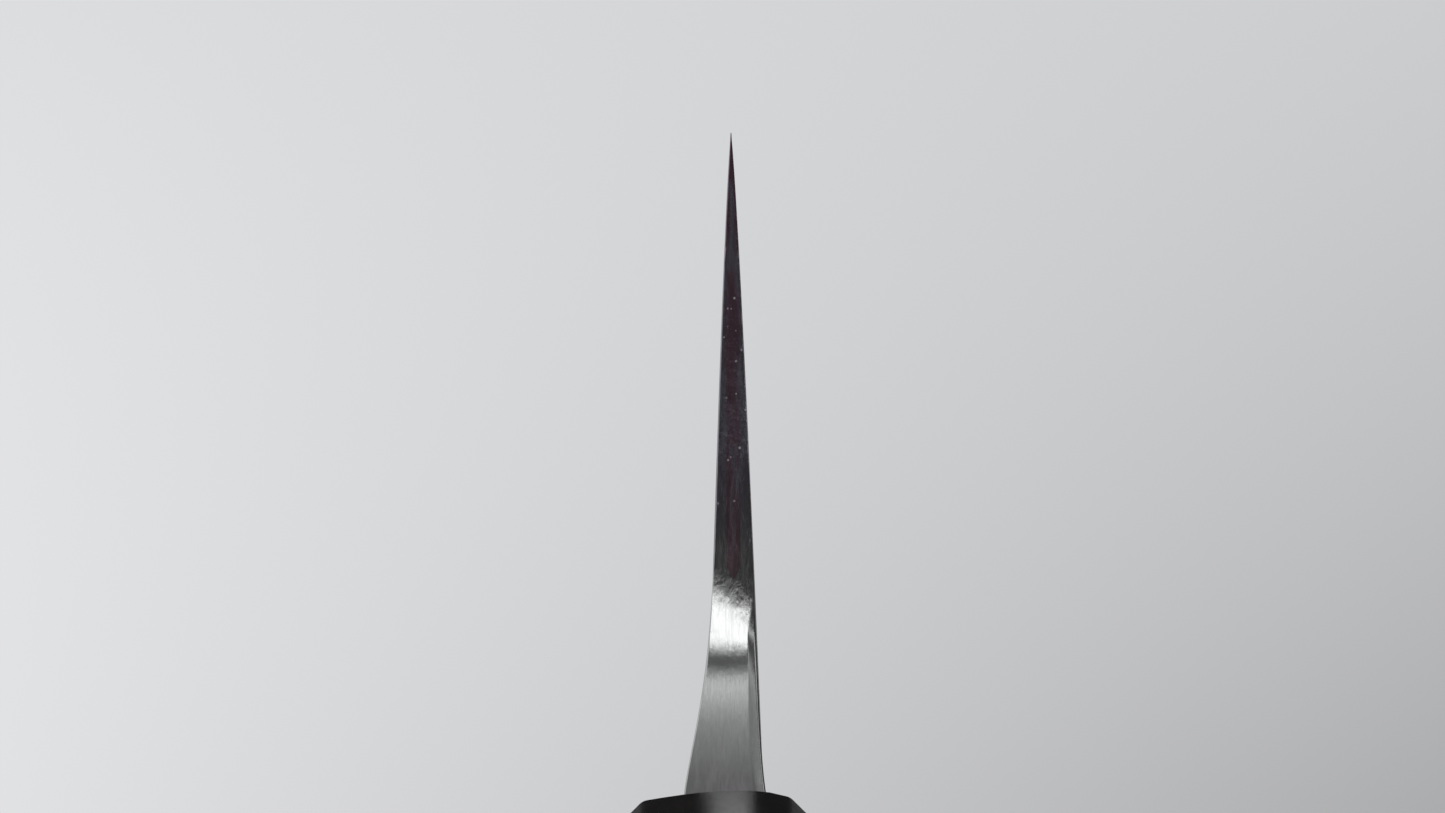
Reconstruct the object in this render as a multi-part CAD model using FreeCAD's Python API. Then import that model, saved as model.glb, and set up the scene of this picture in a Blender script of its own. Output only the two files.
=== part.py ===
"""Boning knife (honesuki pattern) with a hidden tang in an octagonal handle, in millimetres.

The knife stands on the back of its handle with the cutting edge up. X runs along the knife from the
butt to the tip, Z is up, and Y is across, positive towards the right face of the blade as it is used.
The origin is the middle of the knife's length, on the plane of the handle's back.

The blade is forged from two steels. A soft body carries the spine, the neck and the tang, and a thin
hard core let into it makes the edge. The tang is bedded in resin between the halves of a split dowel,
and the dowel joins the horn ferrule to the ebony body of the handle.
"""

import FreeCAD, Part
import math
import os

# Blade, seen from the side
BLADE_LENGTH = 150.0        # heel to tip
HEEL_HEIGHT = 40.0          # edge to spine at the heel
BELLY_LENGTH = 62.0         # stretch before the tip where the edge curves towards the spine
TIP_DROP = 6.5              # how far the tip lies below the straight part of the edge
TIP_LAND = 0.3              # blunt height left at the very tip
SPINE_SLOPE = 0.115         # rise of the spine's long run
SPINE_BEND_START = -10.0    # where that run starts to rise, from the heel
SPINE_BEND_LENGTH = 30.0
NOSE_START = 92.0           # where the spine turns up to meet the tip, from the heel
NOSE_BEND_LENGTH = 26.0

# Blade, seen in section
HEEL_THICKNESS = 3.0        # at the spine, above the heel
TIP_THICKNESS = 0.6         # at the spine, by the tip
TAPER_POWER = 3.0           # distal taper: most of the thinning comes near the tip
GRIND_POWER = 0.79          # convex grind: thickness grows as height above the edge to this power
EDGE_LAND = 0.03            # width of the cutting edge itself
SPINE_ROUNDING = 0.35       # eased corners of the spine
TIP_ROUNDING_SHARE = 0.3    # the most of the height or half thickness that they take, by the tip
CORE_THICKNESS = 0.5
CORE_SHARE = 0.415          # depth of the core, as a share of the blade's height

# Neck, choil and tang
NECK_LENGTH = 20.0          # heel to the front of the ferrule
NECK_HEIGHT = 14.0
NECK_THICKNESS = 3.4
NECK_BLEND = 10.0           # stretch behind the heel where the grind fades into the neck
MIDDLE_BLEND = 6.2          # and where the blade's middle plane moves over to the neck's
CHOIL_RADIUS = 14.0         # hollow between the back of the heel and the neck
SHOULDER_GAP = 2.5          # from the shoulders of the neck to the ferrule
SHOULDER_STEP = 1.75        # from the neck down to the tang, at its belly and its spine
SHOULDER_SIDE_STEP = 0.1    # the same on the flat sides
TANG_END_HEIGHT = 5.0
TANG_END_THICKNESS = 2.0

# Handle
FERRULE_LENGTH = 26.0
FERRULE_HEIGHT = 21.2       # at its front, as are the next two
FERRULE_WIDTH = 16.8
FERRULE_FLAT = 4.45         # width of the octagon's flat at the back and the belly
FERRULE_CROWN = 0.25        # bulge of its belly face at the front, fading out towards the joint
FERRULE_RIDGE = -0.7        # highest line of that bulge, from the middle of the handle
FERRULE_WALL = 12.0         # solid front, pierced only by the tang's slot
BODY_LENGTH = 100.0
BUTT_HEIGHT = 23.4
BUTT_WIDTH = 18.8
BUTT_FLAT = 5.2
BUTT_DOME_RADIUS = 100.0
ARRIS_ROUNDING = 0.5        # long edges of the handle, and the rim of the butt
FERRULE_RIM_ROUNDING = 0.6
DOWEL_WALL = 1.0            # wood above and below the tang's slot, where the slot is highest
DOWEL_PAST_TANG = 14.0      # solid dowel behind the end of the tang
BUTT_WALL = 14.0            # solid wood behind the dowel
GLUE_GAP = 0.1              # round the dowel and past its end
BEDDING_GAP = 0.3           # resin round the tang
SEAL_DEPTH = 3.0            # coloured resin that closes the mouth of the slot

# How the hand fitting left the pieces across the handle
NECK_OFFSET = -0.24         # neck and tang from the middle of the handle
EDGE_OFFSET = -0.345        # cutting edge from the middle of the neck

# Places that follow
TOTAL_LENGTH = BLADE_LENGTH + NECK_LENGTH + FERRULE_LENGTH + BODY_LENGTH
X_TIP = TOTAL_LENGTH / 2
X_HEEL = X_TIP - BLADE_LENGTH
X_FERRULE = X_HEEL - NECK_LENGTH
X_JOINT = X_FERRULE - FERRULE_LENGTH
X_BUTT = X_JOINT - BODY_LENGTH
X_SHOULDER = X_FERRULE + SHOULDER_GAP
X_SEAL = X_FERRULE - SEAL_DEPTH
X_DOWEL = X_FERRULE - FERRULE_WALL
X_DOWEL_END = X_BUTT + BUTT_WALL
X_TANG_END = X_DOWEL_END + DOWEL_PAST_TANG
Z_TANG = FERRULE_HEIGHT / 2
Z_SPINE = Z_TANG - NECK_HEIGHT / 2
Z_BELLY = Z_TANG + NECK_HEIGHT / 2
Z_EDGE = Z_SPINE + HEEL_HEIGHT
Y_NECK = NECK_OFFSET
Y_EDGE = Y_NECK + EDGE_OFFSET

# How finely the blade is shaped
FACE_POINTS = 11            # along each side of a section
FACE_BUNCHING = 1.6         # gathers those points towards the edge
NECK_STATIONS = 9
BLADE_STATIONS = 17
STATION_BUNCHING = 1.5      # gathers the sections towards the tip
LOFT_DEGREE = 5
CORE_STATIONS = 12
PAST = 5.0                  # how far a cutting shape reaches past what it cuts
RIM_DEPTH = 2.5             # the edges round an end of the handle lie within this of it


def point(x, y, z):
    return FreeCAD.Vector(x, y, z)


def mix(start, end, share):
    return start + (end - start) * share


def smoothstep(share):
    share = min(1.0, max(0.0, share))
    return share * share * (3 - 2 * share)


def eased_ramp(distance, bend_length):
    """Zero before the bend, a parabola along it, and a straight run of slope 1 after it."""
    if distance <= 0:
        return 0.0
    if distance < bend_length:
        return distance ** 2 / (2 * bend_length)
    return distance - bend_length / 2


# ---- blade ----

def edge_z(x):
    """Height of the cutting edge: straight from the heel, then a parabola down to the tip."""
    past_straight = max(0.0, x - (X_TIP - BELLY_LENGTH))
    return Z_EDGE - TIP_DROP * (past_straight / BELLY_LENGTH) ** 2


def long_run_z(x):
    return Z_SPINE + SPINE_SLOPE * eased_ramp(x - X_HEEL - SPINE_BEND_START, SPINE_BEND_LENGTH)


def nose_ramp(x):
    return eased_ramp(x - X_HEEL - NOSE_START, NOSE_BEND_LENGTH)


NOSE_SLOPE = (edge_z(X_TIP) - TIP_LAND - long_run_z(X_TIP)) / nose_ramp(X_TIP)


def spine_z(x):
    """Height of the spine: level at the neck, a long shallow rise, then a steeper one to the tip."""
    return long_run_z(x) + NOSE_SLOPE * nose_ramp(x)


def neck_share(x):
    """0 in the blade, and 1 where the grind has faded into the parallel neck."""
    return smoothstep((X_HEEL - x) / NECK_BLEND)


def half_thickness(x, depth):
    """Half the blade's thickness, at a depth below the edge given as a share of the height."""
    along = min(1.0, max(0.0, (x - X_HEEL) / BLADE_LENGTH))
    at_spine = mix(HEEL_THICKNESS, TIP_THICKNESS, along ** TAPER_POWER)
    wedge = max(EDGE_LAND, at_spine * depth ** GRIND_POWER)
    return mix(wedge, NECK_THICKNESS, neck_share(x)) / 2


def middle_y(x):
    return mix(Y_EDGE, Y_NECK, smoothstep((X_HEEL - x) / MIDDLE_BLEND))


def blade_section(x):
    """Outline across the blade: edge, left face, rounded spine and right face."""
    top, spine, middle = edge_z(x), spine_z(x), middle_y(x)
    height = top - spine
    rounding = min(SPINE_ROUNDING, height * TIP_ROUNDING_SHARE, half_thickness(x, 1) * TIP_ROUNDING_SHARE)
    face_share = 1 - rounding / height
    steps = [i / (FACE_POINTS - 1) for i in range(FACE_POINTS)]

    def face_points(side):
        depths = [face_share * step ** FACE_BUNCHING for step in steps]
        return [point(x, middle + side * half_thickness(x, depth), top - depth * height)
                for depth in depths]

    def face_curve(points):
        curve = Part.BSplineCurve()
        curve.interpolate(Points=points, Parameters=steps)
        return curve.toShape()

    left, right = face_points(-1), face_points(1)
    bend = rounding * (1 - math.sqrt(0.5))
    left_bend = point(x, left[-1].y + bend, spine + bend)
    left_foot = point(x, left[-1].y + rounding, spine)
    right_foot = point(x, right[-1].y - rounding, spine)
    right_bend = point(x, right[-1].y - bend, spine + bend)
    return Part.Wire([
        Part.LineSegment(right[0], left[0]).toShape(),
        face_curve(left),
        Part.Arc(left[-1], left_bend, left_foot).toShape(),
        Part.LineSegment(left_foot, right_foot).toShape(),
        Part.Arc(right_foot, right_bend, right[-1]).toShape(),
        face_curve(right[::-1]),
    ])


def blade_stations():
    """Places of the sections from the shoulders to the tip, closer together towards the tip."""
    neck = [mix(X_SHOULDER, X_HEEL, i / NECK_STATIONS) for i in range(NECK_STATIONS)]
    last = BLADE_STATIONS - 1
    blade = [mix(X_TIP, X_HEEL, (1 - i / last) ** STATION_BUNCHING) for i in range(BLADE_STATIONS)]
    return neck + blade


def extruded_outline(edges, y_middle, width):
    """A flat outline in the XZ plane, made width wide about y_middle."""
    face = Part.Face(Part.Wire(edges))
    face.translate(point(0, y_middle - width / 2, 0))
    return face.extrude(point(0, width, 0))


def line(x_start, z_start, x_end, z_end):
    return Part.LineSegment(point(x_start, 0, z_start), point(x_end, 0, z_end)).toShape()


def behind_choil():
    """What the forge cuts away above the neck and behind the heel, with the choil's hollow."""
    top, back, radius = Z_EDGE + PAST, X_SHOULDER - PAST, CHOIL_RADIUS
    bend = radius * math.sqrt(0.5)
    hollow = Part.Arc(
        point(X_HEEL, 0, Z_BELLY + radius),
        point(X_HEEL - radius + bend, 0, Z_BELLY + radius - bend),
        point(X_HEEL - radius, 0, Z_BELLY)).toShape()
    edges = [line(X_HEEL, top, X_HEEL, Z_BELLY + radius), hollow,
             line(X_HEEL - radius, Z_BELLY, back, Z_BELLY),
             line(back, Z_BELLY, back, top), line(back, top, X_HEEL, top)]
    return extruded_outline(edges, Y_NECK, NECK_THICKNESS + 2 * PAST)


def core_space():
    """The slot forged into the blade for the core: flat sides, and a floor that follows the edge."""
    shares = [i / CORE_STATIONS for i in range(-1, CORE_STATIONS + 2)]
    floor_points = []
    for share in shares:
        x = mix(X_HEEL, X_TIP, share)
        floor_points.append(point(x, 0, edge_z(x) - CORE_SHARE * (edge_z(x) - spine_z(x))))
    floor = Part.BSplineCurve()
    floor.interpolate(Points=floor_points, Parameters=shares)
    first, last, top = floor_points[0], floor_points[-1], Z_EDGE + PAST
    edges = [floor.toShape(), line(last.x, last.z, last.x, top), line(last.x, top, first.x, top),
             line(first.x, top, first.x, first.z)]
    return extruded_outline(edges, Y_EDGE, CORE_THICKNESS)


def tang_size(x):
    """Height and thickness of the tang, which tapers evenly from the shoulders to its end."""
    along = (X_SHOULDER - x) / (X_SHOULDER - X_TANG_END)
    return (mix(NECK_HEIGHT - 2 * SHOULDER_STEP, TANG_END_HEIGHT, along),
            mix(NECK_THICKNESS - 2 * SHOULDER_SIDE_STEP, TANG_END_THICKNESS, along))


def tang_bar(x_front, x_back, gap):
    """The tang between two places along the knife, grown by a gap all round."""
    def rectangle(x):
        half_height, half_thickness = (size / 2 + gap for size in tang_size(x))
        corners = [(-1, -1), (1, -1), (1, 1), (-1, 1), (-1, -1)]
        return [point(x, Y_NECK + side * half_thickness, Z_TANG + up * half_height)
                for side, up in corners]
    return bar_between(rectangle(x_front), rectangle(x_back))


def blade_pieces():
    sections = [blade_section(x) for x in blade_stations()]
    blade = Part.makeLoft(sections, True, False, False, LOFT_DEGREE).cut(behind_choil())
    core = blade.common(core_space())
    body = blade.cut(core_space())
    body = body.fuse(tang_bar(X_SHOULDER + SHOULDER_GAP, X_TANG_END, 0)).removeSplitter()
    return body, core


# ---- handle ----

def bar_between(front, back):
    """A solid with flat sides between two similar closed polygons that face each other."""
    faces = [Part.Face(Part.makePolygon(front)), Part.Face(Part.makePolygon(back))]
    for i in range(len(front) - 1):
        side = [front[i], front[i + 1], back[i + 1], back[i], front[i]]
        faces.append(Part.Face(Part.makePolygon(side)))
    return Part.makeSolid(Part.makeShell(faces))


def handle_size(x):
    """Height, width and flat of the handle's octagon, which tapers evenly from butt to ferrule."""
    along = (X_FERRULE - x) / (X_FERRULE - X_BUTT)
    return (mix(FERRULE_HEIGHT, BUTT_HEIGHT, along), mix(FERRULE_WIDTH, BUTT_WIDTH, along),
            mix(FERRULE_FLAT, BUTT_FLAT, along))


def octagon(x, belly_stock=0.0):
    """Corners of the handle's section. The belly bevels run on through any extra stock above them."""
    height, width, flat = handle_size(x)
    half, bevel = width / 2, (width - flat) / 2
    back, belly, top = flat / 2, flat / 2 - belly_stock, height + belly_stock
    corners = [(-back, 0), (back, 0), (half, bevel), (half, height - bevel),
               (belly, top), (-belly, top), (-half, height - bevel), (-half, bevel)]
    return [point(x, y, z) for y, z in corners + corners[:1]]


def long_edges(solid):
    """The edges that run along the handle, on its outside."""
    def runs_along(edge):
        start, end = edge.Vertexes[0].Point, edge.Vertexes[-1].Point
        return abs(end.x - start.x) > solid.BoundBox.XLength / 2
    return [edge for edge in solid.Edges if runs_along(edge)]


def rim_edges(solid, x):
    """The edges round the solid's end at x, flat or domed."""
    return [edge for edge in solid.Edges
            if edge.BoundBox.XLength < RIM_DEPTH and abs(edge.CenterOfMass.x - x) < RIM_DEPTH]


def slot_space(x_front, x_back):
    """Room for the tang and the resin round it."""
    return tang_bar(x_front, x_back, BEDDING_GAP)


def dowel_radius():
    return tang_size(X_DOWEL)[0] / 2 + BEDDING_GAP + DOWEL_WALL


def dowel_bore(x_front, x_back):
    radius = dowel_radius() + GLUE_GAP
    return Part.makeCylinder(radius, x_front - x_back, point(x_back, 0, Z_TANG), point(1, 0, 0))


def above_crown():
    """What is ground off the ferrule's belly, to leave it bulging at the front and flat at the joint."""
    def arch(x, crown):
        height, _, flat = handle_size(x)
        reach = flat / 2 + 2 * FERRULE_CROWN
        drop = crown * (2 * reach / flat) ** 2
        curve = Part.BezierCurve()
        curve.setPoles([point(x, -reach, height - drop), point(x, 2 * FERRULE_RIDGE, height + drop),
                        point(x, reach, height - drop)])
        return curve.toShape()

    belly = Part.makeRuledSurface(arch(X_FERRULE, FERRULE_CROWN), arch(X_JOINT, 0))
    return belly.extrude(point(0, 0, PAST))


def ferrule():
    blank = bar_between(octagon(X_FERRULE, FERRULE_CROWN), octagon(X_JOINT, FERRULE_CROWN))
    blank = blank.cut(above_crown())
    blank = blank.makeFillet(ARRIS_ROUNDING, long_edges(blank))
    blank = blank.makeFillet(FERRULE_RIM_ROUNDING, rim_edges(blank, X_FERRULE))
    blank = blank.cut(dowel_bore(X_DOWEL, X_JOINT - PAST))
    return blank.cut(slot_space(X_FERRULE + PAST, X_DOWEL - PAST))


def handle_body():
    dome = Part.makeSphere(BUTT_DOME_RADIUS, point(X_BUTT + BUTT_DOME_RADIUS, 0, BUTT_HEIGHT / 2))
    blank = bar_between(octagon(X_JOINT), octagon(X_BUTT - PAST)).common(dome)
    blank = blank.makeFillet(ARRIS_ROUNDING, long_edges(blank) + rim_edges(blank, X_BUTT))
    return blank.cut(dowel_bore(X_JOINT + PAST, X_DOWEL_END - GLUE_GAP))


def dowel_half(side):
    """One half of the dowel, split along the handle, with its share of the tang's slot cut in it."""
    length, radius = X_DOWEL - X_DOWEL_END, dowel_radius()
    dowel = Part.makeCylinder(radius, length, point(X_DOWEL_END, 0, Z_TANG), point(1, 0, 0))
    corner = point(X_DOWEL_END - PAST, min(0, side * 2 * radius), Z_TANG - 2 * radius)
    keep = Part.makeBox(length + 2 * PAST, 2 * radius, 4 * radius, corner)
    return dowel.common(keep).cut(slot_space(X_DOWEL + PAST, X_TANG_END - BEDDING_GAP))


def resin(x_front, x_back):
    return slot_space(x_front, x_back).cut(tang_bar(X_SHOULDER, X_TANG_END, 0))


def main():
    os.makedirs("parts", exist_ok=True)
    blade_body, blade_core = blade_pieces()
    nodes = {
        "blade_body": blade_body,
        "blade_core": blade_core,
        "ferrule": ferrule(),
        "handle_body": handle_body(),
        "dowel_half_left": dowel_half(-1),
        "dowel_half_right": dowel_half(1),
        "tang_bedding": resin(X_SEAL, X_TANG_END - BEDDING_GAP),
        "mouth_seal": resin(X_FERRULE, X_SEAL),
    }
    for name, shape in nodes.items():
        shape.exportStep(f"parts/{name}.step")
        box = shape.BoundBox
        print(f"{name}: valid {shape.isValid()}, solids {len(shape.Solids)}, volume {shape.Volume:.1f}, "
              f"x {box.XMin:.2f} to {box.XMax:.2f}, y {box.YMin:.2f} to {box.YMax:.2f}, "
              f"z {box.ZMin:.2f} to {box.ZMax:.2f}")


main()
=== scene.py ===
"""A boning knife with its edge up on a pale floor, seen from behind the handle along the blade."""

import math

import bmesh
import bpy
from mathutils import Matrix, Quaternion, Vector


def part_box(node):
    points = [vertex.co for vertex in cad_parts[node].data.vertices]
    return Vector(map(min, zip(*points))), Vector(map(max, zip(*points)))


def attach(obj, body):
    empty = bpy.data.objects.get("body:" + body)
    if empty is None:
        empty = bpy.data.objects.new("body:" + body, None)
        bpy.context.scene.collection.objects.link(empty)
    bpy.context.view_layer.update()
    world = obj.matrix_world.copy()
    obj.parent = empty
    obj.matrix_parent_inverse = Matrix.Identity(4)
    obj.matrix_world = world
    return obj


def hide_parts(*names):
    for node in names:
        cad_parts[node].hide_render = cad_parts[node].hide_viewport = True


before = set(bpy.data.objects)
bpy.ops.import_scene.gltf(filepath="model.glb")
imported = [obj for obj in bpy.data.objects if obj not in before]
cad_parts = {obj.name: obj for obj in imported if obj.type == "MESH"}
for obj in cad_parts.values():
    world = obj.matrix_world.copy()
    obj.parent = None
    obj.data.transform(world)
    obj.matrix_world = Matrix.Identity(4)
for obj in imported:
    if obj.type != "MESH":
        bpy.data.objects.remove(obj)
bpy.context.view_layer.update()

MM = 0.001
QUARTER_TURN = math.radians(90)

# Places that the frame gives
_, core_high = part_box("blade_core")
body_low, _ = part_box("blade_body")
ferrule_low, ferrule_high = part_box("ferrule")
handle_low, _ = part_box("handle_body")
X_TIP, Z_EDGE = core_high.x, core_high.z
X_TANG_END, Z_SPINE = body_low.x, body_low.z
X_FERRULE, X_JOINT = ferrule_high.x, ferrule_low.x
X_BUTT = handle_low.x

# Blade
BLADE_LENGTH = 150 * MM
BELLY_LENGTH = 62 * MM
TIP_DROP = 6.5 * MM
TIP_LAND = 0.3 * MM
SPINE_SLOPE = 0.115
SPINE_BEND_START = -10 * MM
SPINE_BEND_LENGTH = 30 * MM
NOSE_START = 92 * MM
NOSE_BEND_LENGTH = 26 * MM
HEEL_THICKNESS = 3.0 * MM
TIP_THICKNESS = 0.6 * MM
TAPER_POWER = 3.0
GRIND_POWER = 0.79
EDGE_LAND = 0.03 * MM
SPINE_ROUNDING = 0.35 * MM
TIP_ROUNDING_SHARE = 0.3
CORE_HALF = 0.25 * MM
CORE_SHARE = 0.415
CORE_POINT = 0.45 * MM          # the core's bottom closes to a point over this height
NECK_HEIGHT = 14 * MM
NECK_THICKNESS = 3.4 * MM
NECK_BLEND = 10 * MM
MIDDLE_BLEND = 6.2 * MM
CHOIL_RADIUS = 14 * MM
SHOULDER_GAP = 2.5 * MM
TANG_HEIGHT, TANG_THICKNESS = 10.5 * MM, 3.2 * MM
TANG_END_HEIGHT, TANG_END_THICKNESS = 5 * MM, 2 * MM
NECK_OFFSET = -0.24 * MM
EDGE_OFFSET = -0.345 * MM
NECK_FOOT, HOLLOW_FOOT, HEEL_FOOT = -14 * MM, 16 * MM, 32 * MM     # along the spine
HOLD = 0.03 * MM                # distance of the loops that hold a corner's shading

# Corners as shares across the back and down the face: a plain round, and a filed facet with a small round
ROUND = [(math.sin(QUARTER_TURN * i / 6), 1 - math.cos(QUARTER_TURN * i / 6)) for i in range(7)]
FACET = [(0, 0), (0.12, 0.04), (0.25, 0.12), (0.72, 0.44), (0.86, 0.56), (0.95, 0.75), (1, 1)]
LEAST_CORNER = 0.03 * MM
FACET_FADE_START, FACET_FADE_END = 24.3 * MM, 27 * MM       # heights over which the facet dies out
RIGHT_CORNER = (ROUND, 0.08 * MM, 0.08 * MM)
LEFT_CORNER = (FACET, 0.46 * MM, 0.24 * MM)

# Handle
FERRULE_HEIGHT, FERRULE_WIDTH, FERRULE_FLAT = 21.2 * MM, 16.8 * MM, 4.45 * MM
BUTT_HEIGHT, BUTT_WIDTH, BUTT_FLAT = 23.4 * MM, 18.8 * MM, 5.2 * MM
FERRULE_CROWN = 0.25 * MM
FERRULE_RIDGE = -0.7 * MM
ARRIS_ROUNDING = 0.5 * MM
RIM_ROUNDING = 0.6 * MM
BUTT_ROUNDING = 1.4 * MM
BUTT_DOME_RADIUS = 100 * MM
BUTT_DOME_ROOM = 1.2 * MM       # more than the dome's height at its corners
JOINT_ROUNDING = 0.04 * MM
FERRULE_WALL = 12 * MM
BORE_RADIUS = 6.25 * MM
BORE_DEPTH = 86.1 * MM
BORE_CAP_RADIUS = 0.5 * MM      # the middle of the bore's bottom, closed by one flat face
SLOT_GAP = 0.3 * MM

X_HEEL = X_TIP - BLADE_LENGTH
X_SHOULDER = X_FERRULE + SHOULDER_GAP
Z_TANG = Z_SPINE + NECK_HEIGHT / 2
Z_BELLY = Z_SPINE + NECK_HEIGHT
Y_NECK = NECK_OFFSET
Y_EDGE = NECK_OFFSET + EDGE_OFFSET


def mix(start, end, share):
    return start + (end - start) * share


def shares_to(steps):
    """Even shares from 0, without the last one, 1."""
    return [i / steps for i in range(steps)]


def smoothstep(share):
    share = min(1.0, max(0.0, share))
    return share * share * (3 - 2 * share)


def eased_ramp(distance, bend_length):
    if distance <= 0:
        return 0.0
    if distance < bend_length:
        return distance ** 2 / (2 * bend_length)
    return distance - bend_length / 2


# ---- Meshes ----

SHARP_DEGREES = 32              # edges that turn more than this are shown sharp


def add_piece(name, rings, material, nodes, looped=False):
    """A closed skin over a row of rings with the same number of points each, capped at both ends or, where
    it is looped, with its last ring joined to its first."""
    count = len(rings[0])
    points = [point for ring in rings for point in ring]
    faces = [] if looped else [tuple(range(count))[::-1], tuple(range(len(points) - count, len(points)))]
    for row in range(len(rings) if looped else len(rings) - 1):
        here, after = row * count, (row + 1) % len(rings) * count
        for i in range(count):
            beside = (i + 1) % count
            faces.append((here + i, here + beside, after + beside, after + i))
    mesh = bpy.data.meshes.new(name)
    mesh.from_pydata(points, [], faces)
    shape = bmesh.new()
    shape.from_mesh(mesh)
    bmesh.ops.remove_doubles(shape, verts=shape.verts, dist=1e-7)
    bmesh.ops.dissolve_degenerate(shape, dist=1e-7, edges=shape.edges)
    bmesh.ops.recalc_face_normals(shape, faces=shape.faces)
    shape.to_mesh(mesh)
    shape.free()
    mesh.shade_smooth()
    mesh.set_sharp_from_angle(angle=math.radians(SHARP_DEGREES))
    mesh.materials.append(material)
    piece = bpy.data.objects.new(name, mesh)
    bpy.context.scene.collection.objects.link(piece)
    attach(piece, "root")
    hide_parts(*nodes)
    return piece


# ---- Blade ----

def edge_z(x):
    past_straight = max(0.0, x - (X_TIP - BELLY_LENGTH))
    return Z_EDGE - TIP_DROP * (past_straight / BELLY_LENGTH) ** 2


def long_run_z(x):
    return Z_SPINE + SPINE_SLOPE * eased_ramp(x - X_HEEL - SPINE_BEND_START, SPINE_BEND_LENGTH)


def nose_ramp(x):
    return eased_ramp(x - X_HEEL - NOSE_START, NOSE_BEND_LENGTH)


NOSE_SLOPE = (edge_z(X_TIP) - TIP_LAND - long_run_z(X_TIP)) / nose_ramp(X_TIP)


def spine_z(x):
    return long_run_z(x) + NOSE_SLOPE * nose_ramp(x)


def neck_share(x):
    return smoothstep((X_HEEL - x) / NECK_BLEND)


def middle_y(x):
    return mix(Y_EDGE, Y_NECK, smoothstep((X_HEEL - x) / MIDDLE_BLEND))


def depth_at(x, z):
    """Depth below the edge as a share of the blade's height there."""
    return min(1.0, max(0.0, (edge_z(x) - z) / (edge_z(x) - spine_z(x))))


def half_at(x, z):
    """Half the blade's thickness."""
    along = min(1.0, max(0.0, (x - X_HEEL) / BLADE_LENGTH))
    at_spine = mix(HEEL_THICKNESS, TIP_THICKNESS, along ** TAPER_POWER)
    wedge = max(EDGE_LAND, at_spine * depth_at(x, z) ** GRIND_POWER)
    return mix(wedge, NECK_THICKNESS, neck_share(x)) / 2


def core_half_at(x, z):
    """Half the core's thickness: a little uneven from the forge, and closing to a point at its bottom."""
    height = edge_z(x) - spine_z(x)
    above_bottom = (CORE_SHARE - depth_at(x, z)) * height
    wave = (0.05 * math.sin(x / (7.3 * MM)) + 0.035 * math.sin(x / (3.1 * MM) + 1.7)
            + 0.04 * math.sin(z / (1.9 * MM) + x / (11 * MM)) + 0.03 * math.sin(z / (0.8 * MM)))
    return max(0.0, CORE_HALF * min(1 + wave, above_bottom / CORE_POINT))


NECK_STEPS, HOLLOW_STEPS, HEEL_STEPS, EDGE_STEPS = 8, 72, 40, 140
EDGE_CROWDING = 1.3             # above 1, stations get closer together towards the tip


def outline():
    """Points of the top outline from the shoulders to the tip, each with the direction inwards from it and
    the place along the spine where its station line ends. The lines lean forward to stay in the steel."""
    corner_x, corner_z = X_HEEL - CHOIL_RADIUS, Z_BELLY + CHOIL_RADIUS
    found = []
    for share in shares_to(NECK_STEPS):
        top = (mix(X_SHOULDER, corner_x, share), Z_BELLY)
        found.append((top, (0, -1), mix(X_SHOULDER, NECK_FOOT, share)))
    for share in shares_to(HOLLOW_STEPS):
        angle = QUARTER_TURN * share
        inwards = (math.sin(angle), -math.cos(angle))
        top = (corner_x + CHOIL_RADIUS * inwards[0], corner_z + CHOIL_RADIUS * inwards[1])
        found.append((top, inwards, mix(NECK_FOOT, HOLLOW_FOOT, share)))
    for share in shares_to(HEEL_STEPS):
        top = (X_HEEL, mix(corner_z, Z_EDGE, share))
        found.append((top, (1, 0), mix(HOLLOW_FOOT, HEEL_FOOT, share)))
    for even_share in shares_to(EDGE_STEPS) + [1.0]:
        share = 1 - (1 - even_share) ** EDGE_CROWDING
        x = mix(X_HEEL, X_TIP, share)
        found.append(((x, edge_z(x)), (0, -1), mix(HEEL_FOOT, X_TIP, share)))
    return found


HALVINGS = 40                   # leave a millionth of a millionth of the range searched
MOST_OF_HALF = 0.4              # widest corner, as a share of half the steel's thickness
MOST_OF_STRIP = 0.9             # and as a share of the body's strip beside the core


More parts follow.
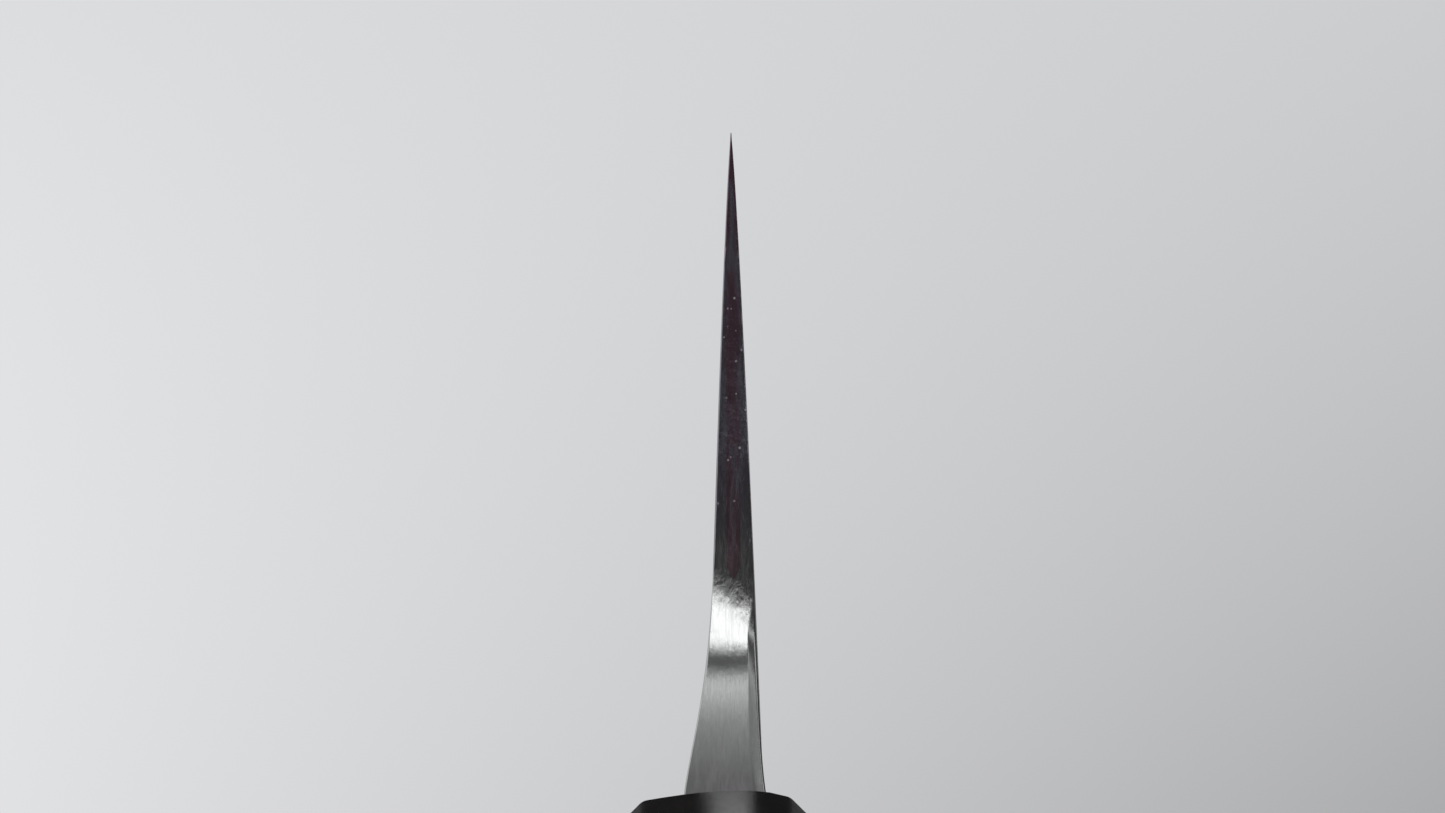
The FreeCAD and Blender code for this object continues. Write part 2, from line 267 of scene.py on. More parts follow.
class StationLine:
    """A straight line down a face of the blade, from the top outline (share 0) to the spine (share 1)."""

    def __init__(self, top, inwards, foot_x):
        self.top, self.foot = top, (foot_x, spine_z(foot_x))
        run, rise = self.foot[0] - top[0], self.foot[1] - top[1]
        self.length = math.hypot(run, rise)
        self.depth_at_top = run * inwards[0] + rise * inwards[1]
        self.depth_at_spine = -rise
        self.bottom_share = self.solve(lambda share: depth_at(*self.at(share)) - CORE_SHARE, 1.0)
        self.leave_share = self.solve(
            lambda share: half_at(*self.at(share)) - core_half_at(*self.at(share)), self.bottom_share)

    def at(self, share):
        return mix(self.top[0], self.foot[0], share), mix(self.top[1], self.foot[1], share)

    def solve(self, rising, high):
        """Where a rising function passes zero, or 0 if it is above zero from the start."""
        low = 0.0
        if rising(low) >= 0:
            return 0.0
        for _ in range(HALVINGS):
            middle = (low + high) / 2
            low, high = (middle, high) if rising(middle) < 0 else (low, middle)
        return high

    def half(self, share):
        return half_at(*self.at(share))

    def core_half(self, share):
        return core_half_at(*self.at(share))

    def corner_size(self, easing):
        """Sizes, across and down, of the corner where the face meets the back; 0 along the cutting edge."""
        half, core = self.half(0), self.core_half(0)
        if half <= EDGE_LAND / 2:
            return 0.0, 0.0
        room = MOST_OF_HALF * half
        if half > core:
            room = min(room, MOST_OF_STRIP * (half - core))
        _, across, down = easing
        fade = smoothstep((FACET_FADE_END - self.top[1]) / (FACET_FADE_END - FACET_FADE_START))
        across, down = mix(LEAST_CORNER, across, fade), mix(LEAST_CORNER, down, fade)
        fitted = min(1.0, room / across)
        return across * fitted, down * fitted

    def wall(self, steps):
        """Shares down the core's side, with one where it starts to close to its point."""
        closing = max(self.leave_share, self.bottom_share - CORE_POINT / self.length)
        even = [mix(self.leave_share, closing, share) for share in shares_to(steps)]
        return even + [closing, self.bottom_share]

    def top_corner(self, profile, across, down):
        """(share, half width) round the corner at the top outline, from the back out to the face."""
        shares = [(out, down * below / self.depth_at_top) for out, below in profile]
        return [(share, self.half(share) - across * (1 - out)) for out, share in shares]

    def spine_corner(self, radius):
        """The same at the spine."""
        shares = [(out, 1 - radius * below / self.depth_at_spine) for out, below in ROUND]
        return [(share, self.half(share) - radius * (1 - out)) for out, share in shares]


FACE_STEPS, WALL_STEPS, STRIP_STEPS = 18, 6, 4


def held_strip(outer, inner):
    """Half widths across the back from a corner inwards, the first close to the corner."""
    hold = min(HOLD, 0.2 * (outer - inner))
    return [outer - hold] + [mix(outer - hold, inner, i / STRIP_STEPS) for i in range(1, STRIP_STEPS + 1)]


def body_side(line, easing):
    """(share, half width) of the body from the middle of the spine up one face and down into the slot."""
    rounding = min(SPINE_ROUNDING, line.length * TIP_ROUNDING_SHARE, line.half(1) * TIP_ROUNDING_SHARE)
    points = [(1.0, 0.0)] + line.spine_corner(rounding)
    low = 1 - (rounding + min(HOLD, rounding)) / line.depth_at_spine
    on_choil = line.leave_share == 0
    across, down = line.corner_size(easing) if on_choil else (0.0, 0.0)
    high = line.leave_share + (down + min(HOLD, down)) / line.depth_at_top
    points += [(share, line.half(share)) for share in
               (mix(low, high, i / FACE_STEPS) for i in range(FACE_STEPS + 1))]
    if on_choil:
        points += line.top_corner(easing[0], across, down)[::-1]
        points += [(0.0, half) for half in held_strip(line.half(0) - across, line.core_half(0))]
    else:
        points += [points[-1]] * (len(easing[0]) + STRIP_STEPS + 1)
    points += [(share, line.core_half(share)) for share in line.wall(WALL_STEPS)]
    return points


def core_side(line, easing):
    """(share, half width) of the core from its bottom up one side to the middle of the top."""
    points = [(line.bottom_share, 0.0)]
    points += [(share, line.core_half(share)) for share in line.wall(WALL_STEPS)[::-1]]
    in_core = line.leave_share > 0
    across, down = line.corner_size(easing) if in_core else (0.0, 0.0)
    high = (down + min(HOLD, down)) / line.depth_at_top
    if in_core:
        points += [(share, line.half(share)) for share in
                   (mix(line.leave_share, high, i / FACE_STEPS) for i in range(FACE_STEPS + 1))]
        points += line.top_corner(easing[0], across, down)[::-1]
    else:
        points += [points[-1]] * (FACE_STEPS + 1 + len(easing[0]))
    points += [(0.0, half) for half in held_strip(points[-1][1], 0.0)]
    return points


def ring_about(line, side_points):
    """A ring from the two sides' points, right side up and left side down."""
    ring = []
    for points, side in ((side_points(line, RIGHT_CORNER), 1), (side_points(line, LEFT_CORNER)[::-1], -1)):
        for share, half in points:
            x, z = line.at(share)
            ring.append((x, middle_y(x) + side * half, z))
    return ring


def tang_rings(shoulder_ring):
    """The neck's last ring, stepped in at the shoulders and then tapered to the end of the tang."""
    def resized(x, thickness, height):
        return [(x, Y_NECK + (y - Y_NECK) * thickness / NECK_THICKNESS,
                 Z_TANG + (z - Z_TANG) * height / NECK_HEIGHT) for _, y, z in shoulder_ring]
    return [resized(X_TANG_END, TANG_END_THICKNESS, TANG_END_HEIGHT),
            resized(X_SHOULDER, TANG_THICKNESS, TANG_HEIGHT)]


def build_blade(body_material, core_material):
    lines = [StationLine(*station) for station in outline()]
    body_rings = [ring_about(line, body_side) for line in lines]
    add_piece("blade_body_skin", tang_rings(body_rings[0]) + body_rings,
              body_material, ["blade_body"])
    first = next(i for i, line in enumerate(lines) if line.bottom_share > 0) - 1
    core_rings = [ring_about(line, core_side) for line in lines[first:]]
    add_piece("blade_core_skin", core_rings, core_material, ["blade_core"])


# ---- Handle ----

def handle_size(x):
    """Height, width and flat of the octagon."""
    along = (X_FERRULE - x) / (X_FERRULE - X_BUTT)
    return (mix(FERRULE_HEIGHT, BUTT_HEIGHT, along), mix(FERRULE_WIDTH, BUTT_WIDTH, along),
            mix(FERRULE_FLAT, BUTT_FLAT, along))


ARC_STEPS, FLAT_STEPS = 5, 8


def crown_drop(x, y):
    """How far the ferrule's bulging belly face lies below its ridge."""
    crown = FERRULE_CROWN * max(0.0, x - X_JOINT) / (X_FERRULE - X_JOINT)
    half_flat = handle_size(x)[2] / 2
    reach = half_flat + 2 * FERRULE_CROWN
    slope = reach + 2 * FERRULE_RIDGE
    along = (math.sqrt(slope ** 2 - 4 * FERRULE_RIDGE * (reach + y)) - slope) / (-4 * FERRULE_RIDGE)
    return crown * (reach / half_flat) ** 2 * (1 - 4 * along * (1 - along))


def rounded_corner(before, here, after, radius):
    """Points of the round that replaces a corner between two edges."""
    to_before, to_after = (before - here).normalized(), (after - here).normalized()
    half_angle = to_before.angle(to_after) / 2
    centre = here + (to_before + to_after).normalized() * radius / math.sin(half_angle)
    start = here + to_before * radius / math.tan(half_angle)
    end = here + to_after * radius / math.tan(half_angle)
    return [centre + (start.lerp(end, i / ARC_STEPS) - centre).normalized() * radius
            for i in range(ARC_STEPS + 1)]


def octagon_ring(x, inset=0.0):
    """The handle's outline at x with its arrises rounded, drawn in by an inset."""
    height, width, flat = handle_size(x)
    half, bevel = width / 2, (width - flat) / 2
    slant = inset * math.tan(QUARTER_TURN / 4)
    side = [(flat / 2 - slant, inset), (half - inset, bevel + slant),
            (half - inset, height - bevel - slant)]
    corners = [Vector(point) for point in side]
    for sign in (1, -1):
        y = flat / 2 - slant
        for _ in range(6):
            y = flat / 2 - slant + crown_drop(x, sign * y)
        corners.append(Vector((sign * y, height - inset - crown_drop(x, sign * y))))
    corners += [Vector((-y, z)) for y, z in side[::-1]]

    def belly(y):
        return Vector((y, height - inset - crown_drop(x, y)))

    rounding = max(0.02 * MM, ARRIS_ROUNDING - 0.4 * inset)
    rounds = []
    for i, here in enumerate(corners):
        before = belly(0.9 * here.x) if i == 4 else corners[i - 1]
        after = belly(0.9 * here.x) if i == 3 else corners[(i + 1) % 8]
        rounds.append(rounded_corner(before, here, after, rounding))
    ring = []
    for i, points in enumerate(rounds):
        start, end = points[-1], rounds[(i + 1) % 8][0]
        between = [start.lerp(end, step / FLAT_STEPS) for step in range(1, FLAT_STEPS)]
        ring += points + ([belly(point.x) for point in between] if i == 3 else between)
    return [(x, y, z) for y, z in ring]


def round_ring(x, radius, like):
    """A circle whose points lie in the same directions as those of another ring."""
    ring = []
    for _, y, z in like:
        direction = Vector((y, z - Z_TANG)).normalized() * radius
        ring.append((x, direction.x, Z_TANG + direction.y))
    return ring


def slot_ring(x, like):
    """The tang's slot, with points in the same directions as those of another ring."""
    half_width = TANG_THICKNESS / 2 + SLOT_GAP
    half_height = TANG_HEIGHT / 2 + SLOT_GAP
    ring = []
    for _, y, z in like:
        direction = Vector((y, z - Z_TANG))
        reach = min(half_width / max(abs(direction.x), 1e-9), half_height / max(abs(direction.y), 1e-9))
        ring.append((x, Y_NECK + direction.x * reach, Z_TANG + direction.y * reach))
    return ring


def scaled_ring(ring, x, share, centre_z):
    return [(x, y * share, centre_z + (z - centre_z) * share) for _, y, z in ring]


FERRULE_STEPS, BODY_STEPS, RIM_STEPS, JOINT_STEPS = 12, 24, 8, 3
RIM_HOLD_SHARE = 0.97           # size of the loop that holds the rim's shading, as a share of the rim
DOME_SHARES = (RIM_HOLD_SHARE, 0.85, 0.7, 0.5, 0.3, 0.12, 0.01)


def joint_rings(direction):
    """The small round where ferrule and handle body meet, from the joint towards +X (1) or -X (-1)."""
    rings = []
    for i in range(JOINT_STEPS + 1):
        angle = QUARTER_TURN * i / JOINT_STEPS
        x = X_JOINT + direction * JOINT_ROUNDING * (1 - math.cos(angle))
        rings.append(octagon_ring(x, JOINT_ROUNDING * (1 - math.sin(angle))))
    return rings


def build_ferrule(material):
    rings = joint_rings(1)
    for i in range(1, FERRULE_STEPS + 1):
        rings.append(octagon_ring(mix(X_JOINT, X_FERRULE - RIM_ROUNDING - HOLD, i / FERRULE_STEPS)))
    rings.append(octagon_ring(X_FERRULE - RIM_ROUNDING))
    for i in range(1, RIM_STEPS + 1):
        angle = QUARTER_TURN * i / RIM_STEPS
        x = X_FERRULE - RIM_ROUNDING * (1 - math.sin(angle))
        rings.append(octagon_ring(x, RIM_ROUNDING * (1 - math.cos(angle))))
    front = rings[-1]
    rings.append(scaled_ring(front, X_FERRULE, RIM_HOLD_SHARE, Z_TANG))
    rings.append(slot_ring(X_FERRULE, front))
    rings.append(slot_ring(X_FERRULE - FERRULE_WALL, front))
    rings.append(round_ring(X_FERRULE - FERRULE_WALL, BORE_RADIUS, front))
    rings.append(round_ring(X_JOINT, BORE_RADIUS, rings[0]))
    add_piece("ferrule_skin", rings, material, ["ferrule"], looped=True)


def build_handle_body(material):
    centre_z = BUTT_HEIGHT / 2
    mouth = octagon_ring(X_JOINT)
    rings = [round_ring(X_JOINT - BORE_DEPTH, BORE_CAP_RADIUS, mouth),
             round_ring(X_JOINT - BORE_DEPTH, BORE_RADIUS, mouth),
             round_ring(X_JOINT, BORE_RADIUS, mouth)]
    rings += joint_rings(-1)
    rim = X_BUTT + BUTT_ROUNDING + BUTT_DOME_ROOM
    for i in range(1, BODY_STEPS + 1):
        rings.append(octagon_ring(mix(X_JOINT, rim, i / BODY_STEPS)))

    def dome_x(y, z):
        return X_BUTT + (y * y + (z - centre_z) ** 2) / (2 * BUTT_DOME_RADIUS)

    for i in range(1, RIM_STEPS + 1):
        angle = QUARTER_TURN * i / RIM_STEPS
        flat_ring = octagon_ring(X_BUTT, BUTT_ROUNDING * (1 - math.cos(angle)))
        rings.append([(mix(rim, dome_x(y, z), math.sin(angle)), y, z) for _, y, z in flat_ring])
    last = rings[-1]
    for share in DOME_SHARES:
        ring = scaled_ring(last, X_BUTT, share, centre_z)
        rings.append([(dome_x(y, z), y, z) for _, y, z in ring])
    add_piece("handle_body_skin", rings, material, ["handle_body"])


# ---- Materials ----

def node(tree, kind, inputs=None, **settings):
    made = tree.nodes.new(kind)
    for name, value in settings.items():
        setattr(made, name, value)
    for name, value in (inputs or {}).items():
        socket = made.inputs[name]
        if isinstance(value, bpy.types.NodeSocket):
            tree.links.new(value, socket)
        else:
            socket.default_value = value
    return made


def arithmetic(tree, operation, first, second=0.0):
    return node(tree, "ShaderNodeMath", {0: first, 1: second}, operation=operation).outputs[0]


def product(tree, first, *others):
    for other in others:
        first = arithmetic(tree, "MULTIPLY", first, other)
    return first


def remap(tree, value, low, high, to_low=0.0, to_high=1.0, smooth=True):
    kind = "SMOOTHSTEP" if smooth else "LINEAR"
    return node(tree, "ShaderNodeMapRange",
                {"Value": value, "From Min": low, "From Max": high, "To Min": to_low, "To Max": to_high},
                interpolation_type=kind).outputs[0]


def stretched(tree, vector, per_mm):
    """Coordinates with the given number of units to the millimetre along each axis."""
    scale = tuple(value / MM for value in per_mm)
    return node(tree, "ShaderNodeVectorMath", {0: vector, 1: scale}, operation="MULTIPLY").outputs[0]


def noise(tree, vector, per_mm, detail=3.0, roughness=0.5, distortion=0.0):
    return node(tree, "ShaderNodeTexNoise",
                {"Vector": stretched(tree, vector, per_mm), "Scale": 1.0, "Detail": detail,
                 "Roughness": roughness, "Distortion": distortion}).outputs["Fac"]


def blend(tree, share, first, second):
    made = tree.nodes.new("ShaderNodeMix")
    made.data_type = "RGBA"
    for index, value in ((0, share), (6, first), (7, second)):
        if isinstance(value, bpy.types.NodeSocket):
            tree.links.new(value, made.inputs[index])
        else:
            made.inputs[index].default_value = value
    return made.outputs[2]


def tinted(tree, tone, tint):
    """A grey tone with its red, green and blue scaled."""
    channels = {index: product(tree, tone, factor) for index, factor in enumerate(tint)}
    return node(tree, "ShaderNodeCombineColor", channels).outputs[0]


def start_material(name):
    material = bpy.data.materials.new(name)
    material.use_nodes = True
    tree = material.node_tree
    shader = tree.nodes["Principled BSDF"]
    place = node(tree, "ShaderNodeTexCoord").outputs["Object"]
    return material, tree, shader, place


def feed(tree, shader, **sockets):
    names = {"color": "Base Color", "roughness": "Roughness", "metallic": "Metallic", "normal": "Normal"}
    for key, value in sockets.items():
        tree.links.new(value, shader.inputs[names[key]])


def bump(tree, height, strength, distance, normal=None):
    inputs = {"Height": height, "Strength": strength, "Distance": distance}
    if normal is not None:
        inputs["Normal"] = normal
    return node(tree, "ShaderNodeBump", inputs).outputs[0]


# Heights on the choil
POLISH_START, POLISH_END = 21.5 * MM, 23.8 * MM      # satin below turns to polish above
WEAR_START, WEAR_END = 24.5 * MM, 26.5 * MM          # nearly even below turns to uneven above
TWIST_START, TWIST_END = 25.2 * MM, 27.5 * MM        # the filed back turns askew between these
PAINTED_REFLECTION_START, PAINTED_REFLECTION_END = 27 * MM, 31 * MM        # a painted purple reflection tint, with dust specks, sets in above

SATIN_ROUGHNESS, POLISHED_ROUGHNESS = 0.17, 0.05
TWIST = 42.0                                         # radians for each metre across the back
SHADE_GREY, DUST_GREY = (0.16, 0.16, 0.16, 1), (0.55, 0.55, 0.55, 1)
# Painted reflection: a blue that blotches the painted purple reflection tint high on the choil's back.
PAINTED_REFLECTION_BLUE = (0.50, 0.52, 0.62, 1)


def mixed(tree, share, first, second):
    return node(tree, "ShaderNodeMix", {"Factor": share, "A": first, "B": second}).outputs[0]


def dust_specks(tree, place):
    """1 in small scattered spots and 0 elsewhere."""
    cells = node(tree, "ShaderNodeTexVoronoi",
                 {"Vector": stretched(tree, place, (2.2, 2.2, 2.2)), "Scale": 1.0, "Randomness": 1.0})
    random_share = node(tree, "ShaderNodeSeparateColor", {0: cells.outputs["Color"]}).outputs["Red"]
    chosen = remap(tree, random_share, 0.35, 0.4)
    near = remap(tree, cells.outputs["Distance"], 0.05, 0.14, 1.0, 0.0)
    return product(tree, chosen, near)


def choil_relief(tree, place, sideways, height, lines):
    """Ground lines, pits and waves, and the slight twist of the filed back."""
    worn = remap(tree, height, WEAR_START, WEAR_END, 0.3, 1.0)
    ground = bump(tree, lines, 0.30, 0.004 * MM)
    pits = product(tree, noise(tree, place, (5.0, 13.0, 5.0), 4.0, 0.7), worn)
    pitted = bump(tree, pits, 0.5, 0.010 * MM, ground)
    waves = product(tree, noise(tree, place, (1.1, 1.8, 1.1), 2.0, 0.5), worn)
    wavy = bump(tree, waves, 0.5, 0.036 * MM, pitted)
    from_middle = arithmetic(tree, "SUBTRACT", sideways, Y_EDGE)
    up_twist = remap(tree, height, TWIST_START, TWIST_END, 0.0, TWIST_END - TWIST_START, smooth=False)
    return bump(tree, product(tree, from_middle, up_twist, -TWIST), 1.0, 1.0, wavy)


def steel(name, face_color, face_roughness, back_color, painted_reflection_color):
    """Satin steel: ground lines along the blade's faces, and along the outline on the choil and neck."""
    material, tree, shader, place = start_material(name)
    normal = node(tree, "ShaderNodeNewGeometry").outputs["True Normal"]
    normal_sideways = node(tree, "ShaderNodeSeparateXYZ", {0: normal}).outputs["Y"]
    on_face = remap(tree, arithmetic(tree, "ABSOLUTE", normal_sideways), 0.55, 0.85)
    on_back = arithmetic(tree, "SUBTRACT", 1.0, on_face)
    sideways, height = node(tree, "ShaderNodeSeparateXYZ", {0: place}).outputs[1:3]
    polished = remap(tree, height, POLISH_START, POLISH_END)
    # Painted reflection: above these heights the back takes a purple tint that stands in for a dim reddish
    # reflection; the dust specks keep to the same heights.
    painted_reflection_and_dust_share = remap(tree, height, PAINTED_REFLECTION_START, PAINTED_REFLECTION_END)

    face_lines = noise(tree, place, (0.03, 1.0, 2.2), 7.0, 0.75)
    back_lines = noise(tree, place, (1.5, 12.0, 1.5), 5.0, 0.8)
    lines = mixed(tree, on_face, back_lines, face_lines)
    patches = noise(tree, place, (0.35, 0.9, 0.35), 4.0, 0.6)
    smudges_and_painted_blotches = remap(tree, noise(tree, place, (0.5, 2.6, 0.35), 6.0, 0.7, 0.8), 0.42, 0.68)
    haze = product(tree, smudges_and_painted_blotches, product(tree, on_back, 0.09))
    dust = product(tree, dust_specks(tree, place), product(tree, painted_reflection_and_dust_share, on_back))

    # Painted reflection: high on the choil the back's colour turns to the purple tint, blotched with blue.
    back_tone = blend(tree, painted_reflection_and_dust_share, back_color, blend(tree, smudges_and_painted_blotches, painted_reflection_color, PAINTED_REFLECTION_BLUE))
    tone = blend(tree, on_face, back_tone, face_color)
    shade = remap(tree, lines, 0.3, 0.7, 0.0, 0.5, smooth=False)
    color = blend(tree, shade, tone, blend(tree, 0.6, tone, SHADE_GREY))
    color = blend(tree, dust, color, DUST_GREY)
    dulled = arithmetic(tree, "MAXIMUM", haze, product(tree, dust, 0.8))
    metallic = arithmetic(tree, "SUBTRACT", 1.0, dulled)

    back_rough = remap(tree, polished, 0.0, 1.0, SATIN_ROUGHNESS, POLISHED_ROUGHNESS, smooth=False)
    rough = mixed(tree, on_face, back_rough, face_roughness)
    rough = arithmetic(tree, "ADD", rough, remap(tree, lines, 0.25, 0.75, -0.03, 0.05, smooth=False))
    rough = arithmetic(tree, "ADD", rough, product(tree, patches, 0.04))

    feed(tree, shader, color=color, roughness=rough, metallic=metallic,
         normal=choil_relief(tree, place, sideways, height, lines))
    return material


def horn():
    material, tree, shader, place = start_material("polished_horn")
    streaks = noise(tree, place, (0.05, 0.7, 0.7), 5.0, 0.6, 0.4)
    color = blend(tree, remap(tree, streaks, 0.5, 0.72),
                  (0.006, 0.0055, 0.006, 1), (0.02, 0.015, 0.012, 1))
    scuffs = noise(tree, place, (0.6, 3.0, 3.0), 4.0, 0.6)
    rough = remap(tree, scuffs, 0.3, 0.75, 0.18, 0.24, smooth=False)
    shader.inputs["IOR"].default_value = 1.5
    uneven = bump(tree, noise(tree, place, (0.08, 0.25, 0.25), 2.0), 0.3, 0.01 * MM)
    feed(tree, shader, color=color, roughness=rough, normal=uneven)
    return material


def ebony():
    material, tree, shader, place = start_material("oiled_ebony")
    grain = noise(tree, place, (0.04, 2.6, 2.6), 6.0, 0.62, 0.3)
    bands = noise(tree, place, (0.012, 0.35, 0.35), 3.0, 0.5, 0.6)
    color = blend(tree, remap(tree, grain, 0.35, 0.75),
                  (0.010, 0.0075, 0.006, 1), (0.034, 0.024, 0.018, 1))
    color = blend(tree, remap(tree, bands, 0.5, 0.75, 0.0, 0.6), color, (0.06, 0.038, 0.026, 1))
    pores = remap(tree, noise(tree, place, (0.25, 9.0, 9.0), 3.0, 0.5), 0.60, 0.68)
    color = blend(tree, pores, color, (0.004, 0.003, 0.003, 1))
    rough = remap(tree, grain, 0.3, 0.75, 0.34, 0.5, smooth=False)
    height = arithmetic(tree, "SUBTRACT", product(tree, grain, 0.4), pores)
    feed(tree, shader, color=color, roughness=rough, normal=bump(tree, height, 0.5, 0.02 * MM))
    return material


def plain_wood():
    material, tree, shader, place = start_material("turned_dowel_wood")
    grain = noise(tree, place, (0.03, 1.6, 1.6), 5.0, 0.6, 0.8)
    color = blend(tree, remap(tree, grain, 0.3, 0.75), (0.50, 0.34, 0.19, 1), (0.72, 0.55, 0.35, 1))
    rough = remap(tree, grain, 0.3, 0.75, 0.5, 0.7, smooth=False)
    feed(tree, shader, color=color, roughness=rough, normal=bump(tree, grain, 0.4, 0.03 * MM))
    return material


def resin(name, dark, light):
    material, tree, shader, place = start_material(name)
    cloud = noise(tree, place, (0.5, 0.5, 0.5), 4.0, 0.55)
    color = blend(tree, remap(tree, cloud, 0.35, 0.7), dark, light)
    rough = remap(tree, cloud, 0.3, 0.7, 0.25, 0.45, smooth=False)
    feed(tree, shader, color=color, roughness=rough, normal=bump(tree, cloud, 0.3, 0.03 * MM))
    return material


def dress_node(name, material):
    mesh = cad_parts[name].data
    mesh.materials.clear()
    mesh.materials.append(material)


# ---- Stage ----

FLOOR_RADIUS = 0.24
FLOOR_RINGS, FLOOR_SPOKES = 24, 96
FLOOR_TINT = (0.875, 0.88, 0.892)
FLOOR_X = -0.04                        # middle of the floor
FADE_START, FADE_END = 0.10, 0.23      # distances where its fade into the backdrop starts and ends


def build_floor():
    """A pale disc that fades into the backdrop, so that no horizon shows."""
    points, faces = [(0, 0, 0)], []
    for i in range(1, FLOOR_RINGS + 1):
        radius = FLOOR_RADIUS * i / FLOOR_RINGS
        for k in range(FLOOR_SPOKES):
            angle = 2 * math.pi * k / FLOOR_SPOKES
            points.append((radius * math.cos(angle), radius * math.sin(angle), 0.0))
    for k in range(FLOOR_SPOKES):
        faces.append((0, 1 + k, 1 + (k + 1) % FLOOR_SPOKES))
    for i in range(FLOOR_RINGS - 1):
        for k in range(FLOOR_SPOKES):
            here = 1 + i * FLOOR_SPOKES + k
            beside = 1 + i * FLOOR_SPOKES + (k + 1) % FLOOR_SPOKES
            faces.append((here, here + FLOOR_SPOKES, beside + FLOOR_SPOKES, beside))
    mesh = bpy.data.meshes.new("floor")
    mesh.from_pydata(points, [], faces)
    floor = bpy.data.objects.new("floor", mesh)
    floor.location.x = FLOOR_X
    bpy.context.scene.collection.objects.link(floor)
    material, tree, shader, place = start_material("pale_floor")
    distance = node(tree, "ShaderNodeVectorMath", {0: place}, operation="LENGTH").outputs["Value"]
    fibre = noise(tree, place, (0.6, 0.6, 0.6), 4.0, 0.6)
    tone = remap(tree, fibre, 0.3, 0.7, 0.985, 1.0, smooth=False)
    color = tinted(tree, tone, FLOOR_TINT)
    shader.inputs["Roughness"].default_value = 0.9
    shader.inputs["Specular IOR Level"].default_value = 0.1
    fade = remap(tree, distance, FADE_START, FADE_END, 1.0, 0.0)
    tree.links.new(color, shader.inputs["Base Color"])
    tree.links.new(fade, shader.inputs["Alpha"])
    floor.data.materials.append(material)


# Brightness round the studio over the knife, from the horizon behind the camera (0 degrees), by way of
# the ceiling (90), to the horizon beyond the tip (180)
ARCH = [(0, 0.045), (40.5, 0.045), (42.5, 1.9), (53.5, 1.9), (56.5, 0.12), (61.5, 0.10), (65.5, 0.84),
        (70, 0.80), (74, 0.62), (81, 0.36), (90, 0.30), (103, 0.19), (124, 0.12), (140, 0.03),
        (150, 0.012), (180, 0.012)]
# The same at the left and at the right of the knife, from the horizon (0) to the ceiling (90)
LEFT_SIDE = [(0, 0.45), (20, 0.5), (40, 0.9), (60, 0.8), (75, 0.5), (90, 0.4)]
RIGHT_SIDE = [(0, 0.03), (26, 0.04), (32, 0.10), (36, 0.65), (40.5, 0.65), (43, 0.10), (48, 0.10),
              (52, 0.50), (57, 0.30), (65, 0.25), (90, 0.28)]
# The same below the horizon, from beyond the tip (0) to behind the camera (180)
BELOW = [(0, 0.2), (15, 0.2), (40, 0.62), (135, 0.62), (160, 0.045), (180, 0.045)]
BACKDROP_TONE = 0.60
BACKDROP_TINT = (1.0, 1.008, 1.024)
# Painted light on the backdrop beyond the tip, seen only by the camera:
LEVEL_LIFT = 0.06                          # how much lighter the backdrop is beyond the tip
LOW_DIMMING = 0.085                        # how much darker it is there low down
LOW_SLOPE, LEVEL_SLOPE = 1.60, 0.54        # its rise in tone from right to left, low down and level
LIGHT_SCALE = 2.0


def ramp(tree, angle, stops, whole):
    made = node(tree, "ShaderNodeValToRGB", {0: arithmetic(tree, "DIVIDE", angle, math.radians(whole))})
    elements = made.color_ramp.elements
    while len(elements) > 1:
        elements.remove(elements[-1])
    for i, (degrees, tone) in enumerate(stops):
        element = elements[0] if i == 0 else elements.new(degrees / whole)
        element.position = degrees / whole
        element.color = (tone / LIGHT_SCALE, tone / LIGHT_SCALE, tone / LIGHT_SCALE, 1)
    return made.outputs[0]


def build_studio():
    """Soft light from all round, with dark gaps in line with the blade, and a backdrop with painted light
    beyond the tip.
    """
    world = bpy.data.worlds.new("studio")
    bpy.context.scene.world = world
    world.use_nodes = True
    tree = world.node_tree
    tree.nodes.clear()
    direction = node(tree, "ShaderNodeTexCoord").outputs["Generated"]
    parts = node(tree, "ShaderNodeSeparateXYZ", {0: direction}).outputs
    x, y, z = parts["X"], parts["Y"], parts["Z"]
    over = arithmetic(tree, "ARCTAN2", z, product(tree, x, -1.0))
    arch = ramp(tree, over, ARCH, 180)
    elevation = arithmetic(tree, "ARCSINE", z)
    above = blend(tree, remap(tree, y, 0.25, 0.50), arch, ramp(tree, elevation, LEFT_SIDE, 90))
    above = blend(tree, remap(tree, y, -0.25, -0.48), above, ramp(tree, elevation, RIGHT_SIDE, 90))
    below = ramp(tree, arithmetic(tree, "ARCCOSINE", x), BELOW, 180)
    studio = blend(tree, remap(tree, z, -0.03, -0.01), below, above)

    # Painted light on the backdrop beyond the tip, seen only by the camera: lighter to the left, darker to
    # the right and low down.
    rise = remap(tree, z, -0.1, 0.02, smooth=False)
    across = product(tree, y, remap(tree, rise, 0.0, 1.0, LOW_SLOPE, LEVEL_SLOPE, smooth=False))
    lowness = arithmetic(tree, "SUBTRACT", 1.0, rise)
    dimming = product(tree, lowness, lowness, LOW_DIMMING)
    falloff = arithmetic(tree, "ADD", across, arithmetic(tree, "SUBTRACT", LEVEL_LIFT, dimming))
    ahead = remap(tree, x, 0.90, 0.985)
    tone = arithmetic(tree, "ADD", BACKDROP_TONE, product(tree, ahead, falloff))
    tone = arithmetic(tree, "DIVIDE", tone, LIGHT_SCALE)
    backdrop = tinted(tree, tone, BACKDROP_TINT)
    seen = node(tree, "ShaderNodeLightPath").outputs["Is Camera Ray"]
    color = blend(tree, seen, studio, backdrop)
    light = node(tree, "ShaderNodeBackground", {"Color": color, "Strength": LIGHT_SCALE})
    output = node(tree, "ShaderNodeOutputWorld")
    tree.links.new(light.outputs[0], output.inputs["Surface"])


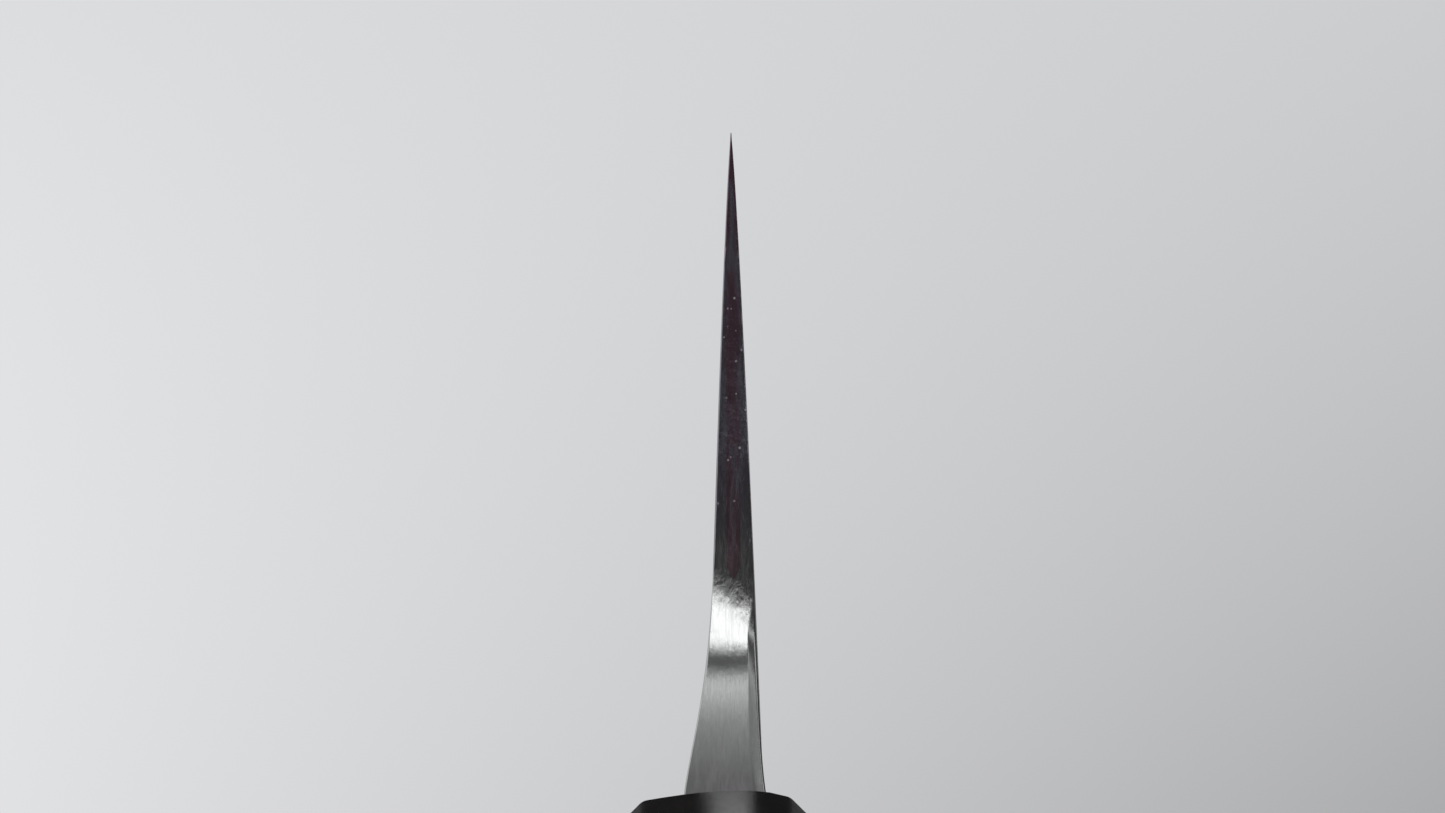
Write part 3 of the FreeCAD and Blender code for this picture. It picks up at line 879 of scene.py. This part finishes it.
def build_lights():
    """One broad softbox to the left of the knife, for a soft shadow."""
    lamp = bpy.data.lights.new("left_softbox", "AREA")
    lamp.shape = "RECTANGLE"
    lamp.size, lamp.size_y = 0.9, 0.6
    lamp.energy = 4.0
    softbox = bpy.data.objects.new("left_softbox", lamp)
    softbox.location = (0.05, 0.75, 0.75)
    softbox.rotation_euler = (-softbox.location).to_track_quat("-Z", "Y").to_euler()
    softbox.visible_glossy = False
    bpy.context.scene.collection.objects.link(softbox)


CAMERA_DISTANCE = 250 * MM      # behind the heel, level with the edge
CAMERA_LENS = 168.2
CAMERA_PITCH = -2.32
CAMERA_YAW = 0.086
CAMERA_ROLL = -0.35


def build_camera():
    data = bpy.data.cameras.new("camera")
    data.lens = CAMERA_LENS
    data.sensor_width = 36
    data.clip_start, data.clip_end = 0.01, 50
    camera = bpy.data.objects.new("camera", data)
    camera.location = (X_HEEL - CAMERA_DISTANCE, Y_EDGE, Z_EDGE)
    pitch, yaw = math.radians(CAMERA_PITCH), math.radians(CAMERA_YAW)
    forward = Vector((math.cos(pitch) * math.cos(yaw), math.cos(pitch) * math.sin(yaw), math.sin(pitch)))
    roll = Quaternion((0, 0, 1), math.radians(CAMERA_ROLL))
    camera.rotation_euler = (forward.to_track_quat("-Z", "Y") @ roll).to_euler()
    bpy.context.scene.collection.objects.link(camera)
    bpy.context.scene.camera = camera


build_camera()
# The last colour given to each steel is a painted reflection tint: purple grey on the body, redder on the
# core.
blade_satin = steel("blade_satin", face_color=(0.54, 0.54, 0.535, 1), face_roughness=0.33,
                    back_color=(0.60, 0.61, 0.61, 1), painted_reflection_color=(0.55, 0.50, 0.60, 1))
core_satin = steel("core_satin", face_color=(0.66, 0.66, 0.67, 1), face_roughness=0.20,
                   back_color=(0.60, 0.42, 0.48, 1), painted_reflection_color=(0.60, 0.36, 0.48, 1))
build_blade(blade_satin, core_satin)
build_ferrule(horn())
build_handle_body(ebony())
for half in ("dowel_half_left", "dowel_half_right"):
    dress_node(half, plain_wood())
dress_node("tang_bedding", resin("bedding_resin", (0.30, 0.20, 0.09, 1), (0.45, 0.33, 0.17, 1)))
dress_node("mouth_seal", resin("seal_resin", (0.012, 0.010, 0.009, 1), (0.03, 0.026, 0.022, 1)))
build_floor()
build_studio()
build_lights()
bpy.context.scene.view_settings.view_transform = "Standard"
